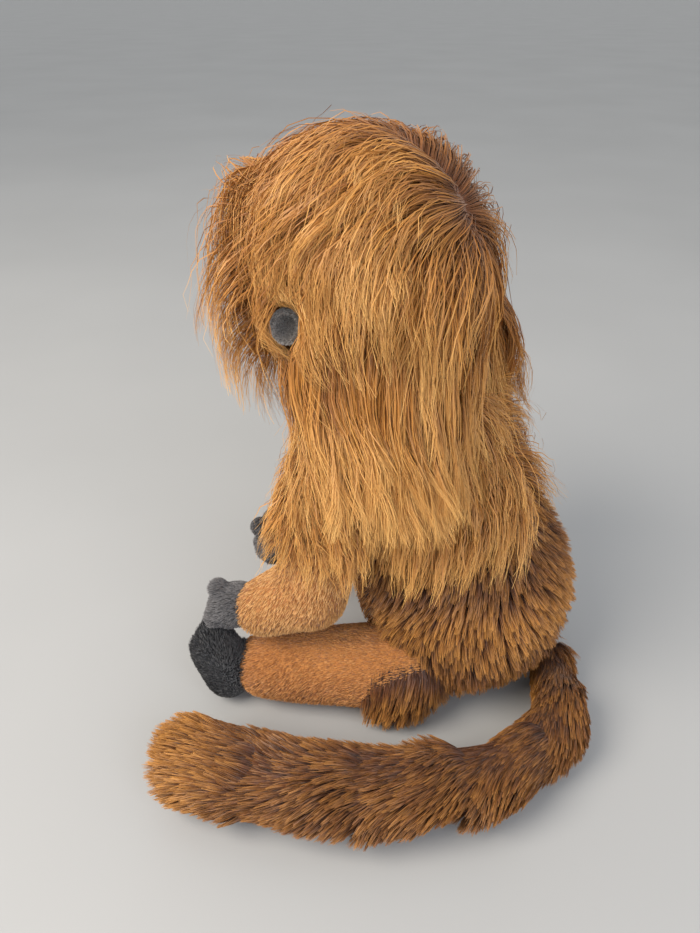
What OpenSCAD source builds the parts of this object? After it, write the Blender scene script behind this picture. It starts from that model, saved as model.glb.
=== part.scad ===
// Seated long-maned toy monkey, sewn from pile fabric and stuffed.
// Units are millimetres. +Z is up, the toy faces -Y and its left side is +X.
// The origin is on the table, under the middle of the round seat.
// Every fabric panel is a shell whose thickness is its backing plus the standing pile.

/* [Torso] */
// Radius of the stuffed seat inside the pile
seat_r = 56; // [53:1:57]
// Radius of the stuffed chest inside the pile
chest_r = 37; // [35:1:38]
// Thickness of the shaggy back fabric with its pile
back_pile = 10; // [7:1:11]
// Thickness of the short belly fabric with its pile
belly_pile = 3; // [2:0.5:3]
// Thickness of the long mane fabric over the shoulders
cape_pile = 9; // [6:1:10]
// Radius of the flat round seat panel
base_r = 30; // [24:1:31]
// Radius of the bag of weighting pellets
pellet_r = 23; // [18:1:24]

/* [Head] */
// Radius of the stuffed head inside the pile
skull_r = 48; // [47:0.5:49]
// Thickness of the long mane fabric with its pile laid flat
mane_pile = 9; // [7:0.5:10]
// Half angle of the round face opening
face_half = 37.5; // [36:0.5:38]
// Radius of the muzzle
muzzle_r = 17; // [15:0.5:17.5]
// Radius of each ear
ear_r = 10; // [8:0.5:11]
// Radius of each eye's dome
eye_r = 6; // [5:0.25:6.5]

/* [Limbs] */
// Thickness of the short limb fabric with its pile
skin_t = 2.5; // [1.5:0.5:3]
// Radius of the upper arm
arm_r = 18; // [16.5:0.5:18.5]
// Radius of the forearm where it meets the hand
wrist_r = 15.5; // [14.5:0.5:16]
// Radius of the leg at the hip
hip_r = 25; // [23:0.5:25]
// Radius of the leg where it meets the foot
ankle_r = 20; // [18.5:0.5:20]
// Radius of a finger
finger_r = 4.6; // [4.2:0.2:5]
// Radius of a toe
toe_r = 5.6; // [5.2:0.2:6]

/* [Tail] */
// Radius of the tail, with its pile, at the root
tail_root_r = 15.5; // [14:0.5:16]
// Radius of the tail, with its pile, at the tip
tail_tip_r = 25; // [22:0.5:26]
// Thickness of the tail fabric with its pile
tail_pile = 8; // [6:0.5:8.5]

/* [Clearances] */
// Gap between two panels that are sewn edge to edge
seam = 0.3; // [0.2:0.1:0.4]
// Room on each side of a limb's seam for its turned-in edge
seam_turn = 0.4; // [0.4:0.1:0.6]
// Gap between stuffing and the fabric round it
fill_gap = 0.2; // [0.1:0.1:0.3]
// Gap at the ball where one stuffed part flexes on another
flex_gap = 0.5; // [0.4:0.1:0.8]

/* [Hidden] */
$fn = 48;
HUGE = 800;

// Centres of the seat, the chest and the head: the back leans forward
seat_c = [0, 2, 56];
chest_c = [0, -28, 140];
head_c = [0, -50, 232];
lean = atan2(seat_c[1] - chest_c[1], chest_c[2] - seat_c[2]);

// The neck is a stuffed ball between the chest and the head
neck_dir = (head_c - chest_c) / norm(head_c - chest_c);
neck_c = chest_c + 40 * neck_dir;
neck_ball_r = 26;
neck_socket_r = 28.6;
thread_r = 1.4;
// Angle kept free above and below the neck's middle for nodding
neck_wedge = 7.5;

// The face looks forward and a little down, and the muzzle a little further down
face_dir = [0, -cos(10), -sin(10)];
muzzle_dir = [0, -cos(18), -sin(18)];
muzzle_c = head_c + 44 * muzzle_dir;
nose_dir = [0, -cos(12), sin(12)];
ruff_half = 50;
ear_dir = [42, -20, -20] / norm([42, -20, -20]);
ear_root = skull_r + 2.2;
face_t = 2;
// The nose's washer sits this much deeper, where the muzzle is wide enough for it
nose_drop = 1.8;

// The belly ends this far behind the torso's axis
side_seam = -4;
// The bag of pellets sits just above the seat panel
pellet_c = [0, 4, pellet_r + 3.6];
// The shoulder mane starts behind this distance from the torso's axis, above this height
cape_front = 6;
cape_low = 104;

// Arm points: shoulder, elbow, wrist and fingertips
arm_left = [[50, -48, 146], [62, -64, 77], [68, -86, 62], [70.5, -115, 57]];
arm_right = [[-50, -48, 146], [-24, -82, 86], [-4, -96, 70], [15, -113.6, 54.3]];
elbow_r = 17.6;
forearm_r = 16.3;
// Room round the upper arm for its swing
arm_swing = 1.3;
wrist_ball_r = 10;
wrist_reach = 11;
palm_r = 9.2;
palm_reach = 9;
hand_t = 1.5;

// Leg points: hip, ankle, heel and the ball of the foot
leg_left = [[50, -12, 25.5], [70, -82, 20.4], [79, -112, 12.5], [80.5, -116, 31]];
leg_right = [for (p = leg_left) [-p[0], p[1], p[2]]];
// Room round the ankle for the leg's swing out and in
leg_sweep = 12;
ankle_ball_r = 11;
ankle_reach = 14;
heel_r = 12;
sole_r = 11.4;
foot_t = 1.7;

// Tail hinge points on the table plan, from the root to the tip
tail_xy = [[6, 62], [46, 74], [86, 56], [115, 16], [131, -30], [138, -80]];
table_gap = 0.3;
tail_gap = 2.6;

function tail_r(i) = tail_root_r + (tail_tip_r - tail_root_r) * i / 5;
function tail_p(i) = [tail_xy[i][0], tail_xy[i][1], tail_r(i) + table_gap];
function unit(v) = v / norm(v);
function towards(a, b, d) = a + d * unit(b - a);
// Mirrors a direction to the given side, where side is 1 for left and -1 for right
function on_side(v, side) = [side * v[0], v[1], v[2]];
// A direction on the face, turned sideways and up from straight ahead
function face_turn(across, up) = unit([sin(across), -cos(across) * cos(up - 10), sin(up - 10)]);

// ---- general shapes ----

module ball(p, r) {
    translate(p) sphere(r);
}

// Turns +Z to run from a to b, with the origin at a
module along(a, b) {
    v = b - a;
    translate(a) rotate([0, acos(v[2] / norm(v)), atan2(v[1], v[0])]) children();
}

// Half outline of two balls joined by their common cone
module capsule_outline(d, ra, rb) {
    s = (ra - rb) / d;
    c = sqrt(1 - s * s);
    intersection() {
        union() {
            circle(ra);
            translate([0, d]) circle(rb);
            polygon([[0, ra * s], [ra * c, ra * s], [rb * c, d + rb * s], [0, d + rb * s]]);
        }
        translate([0, -ra - 1]) square([max(ra, rb) + 1, d + ra + rb + 2]);
    }
}

module capsule(a, b, ra, rb) {
    along(a, b) rotate_extrude() capsule_outline(norm(b - a), ra, rb);
}

// Everything on the side of the plane through p that n points to
module half_space(p, n) {
    along(p, p + n) translate([-HUGE / 2, -HUGE / 2, 0]) cube(HUGE);
}

// Everything beyond a shallow cone whose tip is the neck's centre: dir points away from the part
module neck_clear(dir) {
    drop = 150 * tan(neck_wedge);
    along(neck_c, neck_c + dir)
        rotate_extrude() polygon([[0, 0], [150, -drop], [150, 150], [0, 150]]);
    ball(neck_c, neck_socket_r);
}

// ---- torso ----

module torso_form(grow) {
    capsule(seat_c, chest_c, seat_r + grow, chest_r + grow);
}

// What presses into the stuffed torso: neck, arms and legs
module torso_hollows() {
    neck_clear(neck_dir);
    for (arm = [arm_left, arm_right])
        capsule(arm[0], arm[1], arm_r + arm_swing, elbow_r + arm_swing + 1.6);
    for (leg = [leg_left, leg_right]) {
        ball(leg[0], hip_r + flex_gap);
        along(towards(leg[0], leg[1], 4), leg[1])
            cylinder(r1 = hip_r + flex_gap + 0.6, r2 = ankle_r + leg_sweep, h = norm(leg[1] - leg[0]));
    }
}

// What flattens the pile: the tail's root and the table
module pile_hollows() {
    capsule(tail_p(0), tail_p(1), tail_r(0) + 1.2, tail_r(1) + 4);
    translate([-HUGE / 2, -HUGE / 2, -HUGE]) cube(HUGE);
}

// In front of or behind a plane that is the given distance behind the torso's axis
module torso_front(back) {
    translate(seat_c) rotate([lean, 0, 0])
        translate([-HUGE / 2, back - HUGE, -HUGE / 2]) cube(HUGE);
}

module torso_behind(back) {
    translate(seat_c) rotate([lean, 0, 0]) translate([-HUGE / 2, back, -HUGE / 2]) cube(HUGE);
}

// Room for the seat panel and for putting the pellet bag in
module base_opening() {
    translate([0, 0, -1]) cylinder(r = base_r + seam, h = 4.2);
}

module back_panel(side) {
    difference() {
        torso_form(back_pile);
        torso_form(0);
        torso_hollows();
        pile_hollows();
        base_opening();
        torso_front(side_seam + seam);
        half_space([side * seam / 2, 0, 0], [-side, 0, 0]);
    }
}

module back_panel_left() { color("#5a3a20") back_panel(1); }
module back_panel_right() { color("#5a3a20") back_panel(-1); }

module belly_panel() {
    color("#b9773f") difference() {
        intersection() {
            torso_form(belly_pile);
            torso_front(side_seam);
        }
        torso_form(0);
        torso_hollows();
        pile_hollows();
        base_opening();
    }
}

module seat_panel() {
    color("#4a3020") difference() {
        cylinder(r = base_r, h = 2.6);
        torso_hollows();
    }
}

module torso_stuffing() {
    color("#f1eee6") difference() {
        torso_form(-fill_gap);
        torso_hollows();
        translate([0, 0, -1]) cylinder(r = base_r, h = 4.2);
        ball(pellet_c, pellet_r + fill_gap);
        translate([0, 4, 1]) cylinder(r = pellet_r / 2, h = pellet_c[2] - 1);
    }
}

module pellet_bag() {
    color("#d9d4c8") difference() {
        ball(pellet_c, pellet_r);
        ball(pellet_c, pellet_r - 0.8);
    }
}

module pellets() {
    color("#e8e8e8") ball(pellet_c, pellet_r - 0.8 - fill_gap);
}

module shoulder_mane() {
    color("#c8843c") difference() {
        intersection() {
            torso_form(back_pile + seam + cape_pile);
            torso_behind(cape_front);
            translate([-HUGE / 2, -HUGE / 2, cape_low]) cube(HUGE);
        }
        torso_form(back_pile + seam);
        torso_hollows();
    }
}

// ---- neck ----

module neck_stuffing() {
    color("#f1eee6") along(neck_c, neck_c + neck_dir) rotate_extrude() difference() {
        intersection() {
            circle(neck_ball_r);
            translate([0, -HUGE / 2]) square(HUGE);
        }
        translate([neck_ball_r, 0]) circle(thread_r + 0.1);
    }
}

module neck_thread() {
    color("#7a4a22") along(neck_c, neck_c + neck_dir)
        rotate_extrude() translate([neck_ball_r, 0]) circle(thread_r);
}

// ---- head ----

// Solid cone of half angle h about the face's direction
module face_cone(h) {
    reach = 90;
    along(head_c, head_c + face_dir)
        rotate_extrude() polygon([[0, 0], [reach * sin(h), reach * cos(h)], [0, reach]]);
}

module ear_pocket(side) {
    root = head_c + on_side(ear_dir, side) * (ear_root - 0.2);
    along(root, root + on_side(ear_dir, side)) cylinder(r = ear_r + 1.2, h = 30);
}

module mane_panel(side) {
    difference() {
        ball(head_c, skull_r + mane_pile);
        ball(head_c, skull_r);
        neck_clear(-neck_dir);
        face_cone(ruff_half + 0.4);
        ear_pocket(side);
        half_space([side * seam / 2, 0, 0], [-side, 0, 0]);
    }
}

module mane_panel_left() { color("#c8843c") mane_panel(1); }
module mane_panel_right() { color("#c8843c") mane_panel(-1); }

module face_ruff() {
    color("#d2924a") along(head_c, head_c + face_dir) rotate_extrude()
        polygon([[29.8, 38.2], [36.6, 30.9], [46, 38.8], [50, 46],
                 [50, 55], [46, 66], [40, 66], [34, 52]]);
}

module face_panel() {
    color("#8b8680") difference() {
        intersection() {
            ball(head_c, skull_r);
            face_cone(face_half);
        }
        ball(head_c, skull_r - face_t);
        for (side = [-1, 1]) eye_place(side) cylinder(r = 2.3, h = 20, center = true);
    }
}

module muzzle_panel() {
    color("#9b958d") difference() {
        ball(muzzle_c, muzzle_r);
        ball(muzzle_c, muzzle_r - face_t);
        ball(head_c, skull_r + seam);
        nose_place() cylinder(r = 2.3, h = 20, center = true);
    }
}

module muzzle_stuffing() {
    color("#f1eee6") difference() {
        ball(muzzle_c, muzzle_r - face_t - fill_gap);
        ball(head_c, skull_r + seam);
        nose_place() stud_pocket(nose_drop);
    }
}

module head_stuffing() {
    color("#f1eee6") difference() {
        ball(head_c, skull_r - face_t - fill_gap);
        neck_clear(-neck_dir);
        for (side = [-1, 1]) eye_place(side) stud_pocket();
    }
}

// Moves to an eye's seat on the skull, with +Z outwards
module eye_place(side) {
    dir = face_turn(side * 19, 18);
    along(head_c + skull_r * dir, head_c + (skull_r + 1) * dir) children();
}

module nose_place() {
    along(muzzle_c + muzzle_r * nose_dir, muzzle_c + (muzzle_r + 1) * nose_dir) children();
}

// Room in the stuffing for a stem and its washer
module stud_pocket(drop = 0) {
    translate([0, 0, -face_t - 6.5]) cylinder(r = 2.3, h = 10);
    translate([0, 0, -face_t - 2.6 - drop]) cylinder(r = 7.6, h = 3 + drop);
}

// A domed plastic button on a stem, as an eye or a nose
module domed_stud(r) {
    rotate_extrude() polygon(concat(
        [[0, -face_t - 6], [1.9, -face_t - 6], [1.9, 0.3], [r, 0.3]],
        [for (a = [0:15:90]) [r * cos(a), 0.8 + 0.66 * r * sin(a)]]));
}

module eye_left() { color("#1a120c") eye_place(1) domed_stud(eye_r); }
module eye_right() { color("#1a120c") eye_place(-1) domed_stud(eye_r); }
module nose() { color("#141210") nose_place() domed_stud(eye_r - 0.4); }

module washer(drop = 0) {
    translate([0, 0, -face_t - 2.2 - drop]) difference() {
        cylinder(r = 7, h = 1.6);
        translate([0, 0, -1]) cylinder(r = 2.05, h = 4);
    }
}

module safety_washers() {
    color("#f5f5f5") {
        for (side = [-1, 1]) eye_place(side) washer();
        nose_place() washer(nose_drop);
    }
}

module ear_place(side) {
    root = head_c + on_side(ear_dir, side) * ear_root;
    along(root, root + on_side(ear_dir, side)) children();
}

module ear_back(side) {
    k = ear_r / 10;
    ear_place(side) rotate_extrude() polygon(k * [[0, 0], [5, 0.3], [9, 3], [10, 7], [8.9, 7],
                                                  [7.9, 3.8], [4.7, 1.6], [0, 1.4]]);
}

module ear_front(side) {
    k = ear_r / 10;
    ear_place(side) rotate_extrude() polygon(k * [[0, 1.6], [4.6, 1.8], [7.7, 4], [8.7, 7],
                                                  [7.6, 7], [6.6, 4.8], [4, 3], [0, 2.8]]);
}

module ear_left_front() { color("#b9b5b0") ear_front(1); }
module ear_left_back() { color("#8b8680") ear_back(1); }
module ear_right_front() { color("#b9b5b0") ear_front(-1); }
module ear_right_back() { color("#8b8680") ear_back(-1); }

// ---- arms and hands ----

function wrist_ball(arm) = towards(arm[2], arm[3], wrist_reach);

module arm_form(arm) {
    difference() {
        union() {
            capsule(arm[0], arm[1], arm_r, elbow_r);
            capsule(arm[1], arm[2], forearm_r, wrist_r);
        }
        ball(wrist_ball(arm), wrist_ball_r + flex_gap);
    }
}

// The seam runs along the arm, in the plane of its bend
function arm_normal(arm, side) = side * unit(cross(arm[2] - arm[1], arm[1] - arm[0]));

module arm_skin(arm, side, outer) {
    n = arm_normal(arm, side);
    difference() {
        arm_form(arm);
        arm_form_inner(arm);
        half_space(arm[1] + (outer ? seam_turn : -seam_turn) * n, outer ? -n : n);
    }
}

module arm_form_inner(arm) {
    capsule(arm[0], arm[1], arm_r - skin_t, elbow_r - skin_t);
    capsule(arm[1], arm[2], forearm_r - skin_t, wrist_r - skin_t);
}

// The fibre is packed full at the shoulder, elbow and wrist and a little slacker between them
module arm_stuffing(arm) {
    inset = skin_t + fill_gap;
    slack = inset + 1.2;
    color("#f1eee6") difference() {
        union() {
            ball(arm[0], arm_r - inset);
            ball(arm[1], elbow_r - inset);
            ball(arm[2], wrist_r - inset);
            along(arm[0], arm[1])
                cylinder(r1 = arm_r - slack, r2 = elbow_r - slack, h = norm(arm[1] - arm[0]));
            along(arm[1], arm[2])
                cylinder(r1 = forearm_r - slack, r2 = wrist_r - slack, h = norm(arm[2] - arm[1]));
        }
        ball(wrist_ball(arm), wrist_ball_r + flex_gap);
    }
}

module arm_left_outer() { color("#c07f3f") arm_skin(arm_left, 1, true); }
module arm_left_inner() { color("#c07f3f") arm_skin(arm_left, 1, false); }
module arm_left_stuffing() { arm_stuffing(arm_left); }
module arm_right_outer() { color("#c07f3f") arm_skin(arm_right, -1, true); }
module arm_right_inner() { color("#c07f3f") arm_skin(arm_right, -1, false); }
module arm_right_stuffing() { arm_stuffing(arm_right); }

// The wrist's ball and the palm
module palm_form(arm, grow) {
    root = wrist_ball(arm);
    palm = towards(root, arm[3], palm_reach);
    ball(root, wrist_ball_r + grow);
    capsule(root, palm, palm_r + grow, palm_r + 0.3 + grow);
}

// A small mitten with three fingers and a thumb that points up
module hand_form(arm, side) {
    dir = unit(arm[3] - arm[2]);
    across = unit(cross([0, 0, side], dir));
    up = cross(dir, across) * side;
    palm = towards(wrist_ball(arm), arm[3], palm_reach);
    palm_form(arm, 0);
    for (k = [-1, 0, 1])
        capsule(palm + 4.6 * k * across, arm[3] + 6 * k * across - 1.5 * abs(k) * dir,
                finger_r + 0.3, finger_r - 0.1 * k);
    capsule(palm + 4 * up, palm + 11 * up + 2 * dir, finger_r, finger_r - 0.3);
}

module hand_skin(arm, side, back) {
    dir = unit(arm[3] - arm[2]);
    across = unit(cross([0, 0, side], dir));
    up = cross(dir, across) * side;
    difference() {
        hand_form(arm, side);
        palm_form(arm, -hand_t);
        half_space(arm[3] + (back ? seam_turn : -seam_turn) * up, back ? -up : up);
    }
}

module hand_left_back() { color("#5d5b5c") hand_skin(arm_left, 1, true); }
module hand_left_palm() { color("#5d5b5c") hand_skin(arm_left, 1, false); }
module hand_left_stuffing() { color("#f1eee6") palm_form(arm_left, -hand_t - fill_gap); }
module hand_right_back() { color("#5d5b5c") hand_skin(arm_right, -1, true); }
module hand_right_palm() { color("#5d5b5c") hand_skin(arm_right, -1, false); }
module hand_right_stuffing() { color("#f1eee6") palm_form(arm_right, -hand_t - fill_gap); }

// ---- legs and feet ----

function ankle_ball(leg) = towards(leg[1], [leg[2][0], leg[2][1], leg[1][2]], ankle_reach);

module leg_form(leg, grow) {
    difference() {
        capsule(leg[0], leg[1], hip_r + grow, ankle_r + grow);
        ball(ankle_ball(leg), ankle_ball_r + flex_gap);
    }
}

module leg_skin(leg, side, outer) {
    n = side * unit(cross([0, 0, 1], leg[0] - leg[1]));
    difference() {
        leg_form(leg, 0);
        capsule(leg[0], leg[1], hip_r - skin_t, ankle_r - skin_t);
        half_space(leg[0] + (outer ? seam_turn : -seam_turn) * n, outer ? -n : n);
    }
}

module leg_left_outer() { color("#b5713a") leg_skin(leg_left, 1, true); }
module leg_left_inner() { color("#b5713a") leg_skin(leg_left, 1, false); }
module leg_left_stuffing() { color("#f1eee6") leg_form(leg_left, -skin_t - fill_gap); }
module leg_right_outer() { color("#b5713a") leg_skin(leg_right, -1, true); }
module leg_right_inner() { color("#b5713a") leg_skin(leg_right, -1, false); }
module leg_right_stuffing() { color("#f1eee6") leg_form(leg_right, -skin_t - fill_gap); }

// The ankle's ball, its neck and the sole from heel to ball of foot
module sole_form(leg, grow) {
    root = ankle_ball(leg);
    ball(root, ankle_ball_r + grow);
    capsule(root, (leg[2] + leg[3]) / 2, 9.6 + grow, 9 + grow);
    capsule(leg[2], leg[3], heel_r + grow, sole_r + grow);
}

// An upright foot with three toes along its top, the inner one the biggest
module foot_form(leg, side) {
    sole_form(leg, 0);
    for (k = [-1, 0, 1])
        capsule(leg[3] + [5 * k * side, -1.5, 1.5],
                leg[3] + [7 * k * side, -3.4, 9.6 - k],
                toe_r, toe_r - 0.4 * k - 0.3);
}

module foot_skin(leg, side, upper) {
    n = unit(cross([side, 0, 0], leg[3] - leg[2])) * side;
    difference() {
        foot_form(leg, side);
        sole_form(leg, -foot_t);
        half_space(leg[3] + (upper ? -seam_turn : seam_turn) * n, upper ? n : -n);
    }
}

module foot_left_upper() { color("#38383a") foot_skin(leg_left, 1, true); }
module foot_left_sole() { color("#38383a") foot_skin(leg_left, 1, false); }
module foot_left_stuffing() { color("#f1eee6") sole_form(leg_left, -foot_t - fill_gap); }
module foot_right_upper() { color("#38383a") foot_skin(leg_right, -1, true); }
module foot_right_sole() { color("#38383a") foot_skin(leg_right, -1, false); }
module foot_right_stuffing() { color("#f1eee6") sole_form(leg_right, -foot_t - fill_gap); }

// ---- tail ----

// One length of the tail between two hinge points, hollowed for the ball before it
module tail_form(i, grow) {
    difference() {
        capsule(tail_p(i - 1), tail_p(i), tail_r(i - 1) + grow, tail_r(i) + grow);
        if (i > 1) ball(tail_p(i - 1), tail_r(i - 1) + tail_gap);
    }
}

module tail_skin(i) {
    color("#4c2f1a") difference() {
        tail_form(i, 0);
        capsule(tail_p(i - 1), tail_p(i), tail_r(i - 1) - tail_pile, tail_r(i) - tail_pile);
    }
}

module tail_stuffing(i) {
    color("#f1eee6") tail_form(i, -tail_pile - 2 * fill_gap);
}

module tail_skin_1() { tail_skin(1); }
module tail_skin_2() { tail_skin(2); }
module tail_skin_3() { tail_skin(3); }
module tail_skin_4() { tail_skin(4); }
module tail_skin_5() { tail_skin(5); }
module tail_stuffing_1() { tail_stuffing(1); }
module tail_stuffing_2() { tail_stuffing(2); }
module tail_stuffing_3() { tail_stuffing(3); }
module tail_stuffing_4() { tail_stuffing(4); }
module tail_stuffing_5() { tail_stuffing(5); }

back_panel_left();
back_panel_right();
belly_panel();
seat_panel();
torso_stuffing();
pellet_bag();
pellets();
shoulder_mane();
neck_stuffing();
neck_thread();
mane_panel_left();
mane_panel_right();
face_ruff();
face_panel();
muzzle_panel();
muzzle_stuffing();
head_stuffing();
nose();
eye_left();
eye_right();
safety_washers();
ear_left_front();
ear_left_back();
ear_right_front();
ear_right_back();
arm_left_outer();
arm_left_inner();
arm_left_stuffing();
arm_right_outer();
arm_right_inner();
arm_right_stuffing();
hand_left_back();
hand_left_palm();
hand_left_stuffing();
hand_right_back();
hand_right_palm();
hand_right_stuffing();
leg_left_outer();
leg_left_inner();
leg_left_stuffing();
leg_right_outer();
leg_right_inner();
leg_right_stuffing();
foot_left_upper();
foot_left_sole();
foot_left_stuffing();
foot_right_upper();
foot_right_sole();
foot_right_stuffing();
tail_skin_1();
tail_skin_2();
tail_skin_3();
tail_skin_4();
tail_skin_5();
tail_stuffing_1();
tail_stuffing_2();
tail_stuffing_3();
tail_stuffing_4();
tail_stuffing_5();
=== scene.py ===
import math
import bpy
import bmesh
import numpy as np
from mathutils import Matrix, Vector, kdtree


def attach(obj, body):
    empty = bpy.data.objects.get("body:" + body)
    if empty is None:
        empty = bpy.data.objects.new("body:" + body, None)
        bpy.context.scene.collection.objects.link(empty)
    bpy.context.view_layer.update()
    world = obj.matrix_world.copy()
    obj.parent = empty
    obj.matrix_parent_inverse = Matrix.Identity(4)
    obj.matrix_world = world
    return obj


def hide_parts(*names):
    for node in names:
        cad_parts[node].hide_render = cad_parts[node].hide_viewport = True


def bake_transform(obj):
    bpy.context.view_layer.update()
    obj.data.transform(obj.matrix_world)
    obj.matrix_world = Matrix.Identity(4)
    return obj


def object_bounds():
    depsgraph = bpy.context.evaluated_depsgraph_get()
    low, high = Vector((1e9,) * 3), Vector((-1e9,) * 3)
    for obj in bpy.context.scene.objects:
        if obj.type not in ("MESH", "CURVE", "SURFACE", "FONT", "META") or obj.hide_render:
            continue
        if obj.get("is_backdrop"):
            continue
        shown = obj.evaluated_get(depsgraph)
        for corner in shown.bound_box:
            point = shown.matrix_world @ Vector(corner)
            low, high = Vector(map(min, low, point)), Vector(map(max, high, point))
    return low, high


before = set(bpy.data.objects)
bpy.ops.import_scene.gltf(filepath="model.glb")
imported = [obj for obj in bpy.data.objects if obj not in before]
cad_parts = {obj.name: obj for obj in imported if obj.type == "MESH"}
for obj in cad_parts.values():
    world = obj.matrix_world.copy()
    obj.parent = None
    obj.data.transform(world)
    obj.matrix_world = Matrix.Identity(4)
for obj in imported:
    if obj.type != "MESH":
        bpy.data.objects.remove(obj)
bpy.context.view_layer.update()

MM = 0.001


# ---------------------------------------------------------------- sizes, in millimetres
SEAT = np.array([0.0, 2.0, 56.0])
CHEST = np.array([0.0, -28.0, 140.0])
HEAD = np.array([0.0, -50.0, 232.0])
NECK = np.array([0.0, -37.3, 178.9])
SEAT_R, CHEST_R, SKULL_R = 56.0, 37.0, 48.0
FACE = np.array([0.0, -math.cos(math.radians(10)), -math.sin(math.radians(10))])
MUZZLE_DIR = np.array([0.0, -math.cos(math.radians(18)), -math.sin(math.radians(18))])
MUZZLE = HEAD + 44 * MUZZLE_DIR
EAR_DIR = np.array([42.0, -20.0, -20.0]) / math.sqrt(42 ** 2 + 20 ** 2 + 20 ** 2)

ARM_LEFT = np.array([[50, -48, 146], [62, -64, 77], [68, -86, 62], [70.5, -115, 57]], float)
ARM_RIGHT = np.array([[-50, -48, 146], [-24, -82, 86], [-4, -96, 70], [15, -113.6, 54.3]], float)
LEG_LEFT = np.array([[50, -12, 25.5], [70, -82, 20.4], [79, -112, 12.5], [80.5, -116, 31]], float)
LEG_RIGHT = LEG_LEFT * [-1, 1, 1]
TAIL_R = [15.5 + 9.5 * i / 5 for i in range(6)]
TAIL_PLAN = [(6, 62), (46, 74), (86, 56), (115, 16), (131, -30), (138, -80)]
TAIL = np.array([[x, y, r + 0.3] for (x, y), r in zip(TAIL_PLAN, TAIL_R)])


def unit(v):
    v = np.asarray(v, float)
    return v / np.maximum(np.linalg.norm(v, axis=-1, keepdims=True), 1e-9)


def dot(a, b):
    return (a * b).sum(-1, keepdims=True)


def towards(a, b, d):
    return a + d * unit(b - a)


def smooth(low, high, x):
    """0 at low, 1 at high, easing at both ends; low may be the greater."""
    t = np.clip((x - low) / (high - low), 0, 1)
    return t * t * (3 - 2 * t)


# ---------------------------------------------------------------- colour and material nodes

def colour(hexa):
    """A colour written as sRGB, turned linear."""
    out = []
    for i in (1, 3, 5):
        c = int(hexa[i:i + 2], 16) / 255
        out.append(c / 12.92 if c <= 0.04045 else ((c + 0.055) / 1.055) ** 2.4)
    return (*out, 1.0)


def add(mat, kind, links=(), **settings):
    """One node: settings by attribute or socket name, links as (own socket, other node, its socket)."""
    node = mat.node_tree.nodes.new(kind)
    for key, value in settings.items():
        if hasattr(node, key) and key not in node.inputs:
            setattr(node, key, value)
        else:
            node.inputs[key.replace("_", " ")].default_value = value
    for own, other, theirs in links:
        mat.node_tree.links.new(other.outputs[theirs], node.inputs[own])
    return node


def ramp(mat, links, stops):
    node = add(mat, "ShaderNodeValToRGB", links)
    bar = node.color_ramp.elements
    while len(bar) > 1:
        bar.remove(bar[-1])
    bar[0].position = stops[0][0]
    bar[0].color = colour(stops[0][1])
    for place, hexa in stops[1:]:
        bar.new(place).color = colour(hexa)
    return node


def new_material(name):
    mat = bpy.data.materials.new(name)
    mat.use_nodes = True
    mat.node_tree.nodes.clear()
    return mat


def surface(mat, links, bump=None, **settings):
    """Principled surface and output, with an optional bump node for its normal."""
    skin = add(mat, "ShaderNodeBsdfPrincipled", links, **settings)
    if bump is not None:
        mat.node_tree.links.new(bump.outputs["Normal"], skin.inputs["Normal"])
    end = add(mat, "ShaderNodeOutputMaterial")
    mat.node_tree.links.new(skin.outputs["BSDF"], end.inputs["Surface"])
    return mat


def fibre_material(name, root, middle, tip, dull, rough=0.55, sheen=0.25):
    """Acrylic pile fibre. Each ribbon carries its place from root to tip in V and its own tone in U,
    so the pile is dark where it is deep and its tips catch the light unevenly."""
    mat = new_material(name)
    uv = add(mat, "ShaderNodeUVMap", uv_map="OFBake")
    parts = add(mat, "ShaderNodeSeparateXYZ", [("Vector", uv, "UV")])
    bright = ramp(mat, [("Fac", parts, "Y")], [(0, root), (0.45, middle), (1, tip)])
    shade = ramp(mat, [("Fac", parts, "Y")], [(0, root), (0.6, dull), (1, middle)])
    mix = add(mat, "ShaderNodeMix", [("Factor", parts, "X"), (6, shade, "Color"), (7, bright, "Color")],
              data_type="RGBA")
    return surface(mat, [("Base Color", mix, 2)], Roughness=rough, Sheen_Weight=sheen)


def backing_material(name, dark, light, scale):
    """Knitted backing seen between the roots of the pile: dark, mottled, with no shine."""
    mat = new_material(name)
    place = add(mat, "ShaderNodeTexCoord")
    knit = add(mat, "ShaderNodeTexNoise", [("Vector", place, "Object")], Scale=scale, Detail=4.0)
    fine = add(mat, "ShaderNodeTexNoise", [("Vector", place, "Object")], Scale=900.0, Detail=3.0)
    tone = ramp(mat, [("Fac", knit, "Fac")], [(0.3, dark), (0.7, light)])
    bump = add(mat, "ShaderNodeBump", [("Height", fine, "Fac")], Strength=0.8, Distance=0.0012)
    return surface(mat, [("Base Color", tone, "Color")], bump, Roughness=0.95, Sheen_Weight=0.3)


def plastic_material(name, dark, light, rough, coat):
    """Moulded plastic button: faint cloudiness in the colour and fine handling marks in the gloss."""
    mat = new_material(name)
    place = add(mat, "ShaderNodeTexCoord")
    cloud = add(mat, "ShaderNodeTexNoise", [("Vector", place, "Object")], Scale=180.0, Detail=3.0)
    marks = add(mat, "ShaderNodeTexNoise", [("Vector", place, "Object")], Scale=1400.0, Detail=5.0)
    tone = ramp(mat, [("Fac", cloud, "Fac")], [(0.3, dark), (0.75, light)])
    gloss = add(mat, "ShaderNodeMapRange", [("Value", marks, "Fac")])
    gloss.inputs["To Min"].default_value = rough
    gloss.inputs["To Max"].default_value = rough + 0.15
    return surface(mat, [("Base Color", tone, "Color"), ("Roughness", gloss, "Result")],
                   Coat_Weight=coat)


# ---------------------------------------------------------------- stuffed skins

BALL_STEP = 3.0


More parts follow.
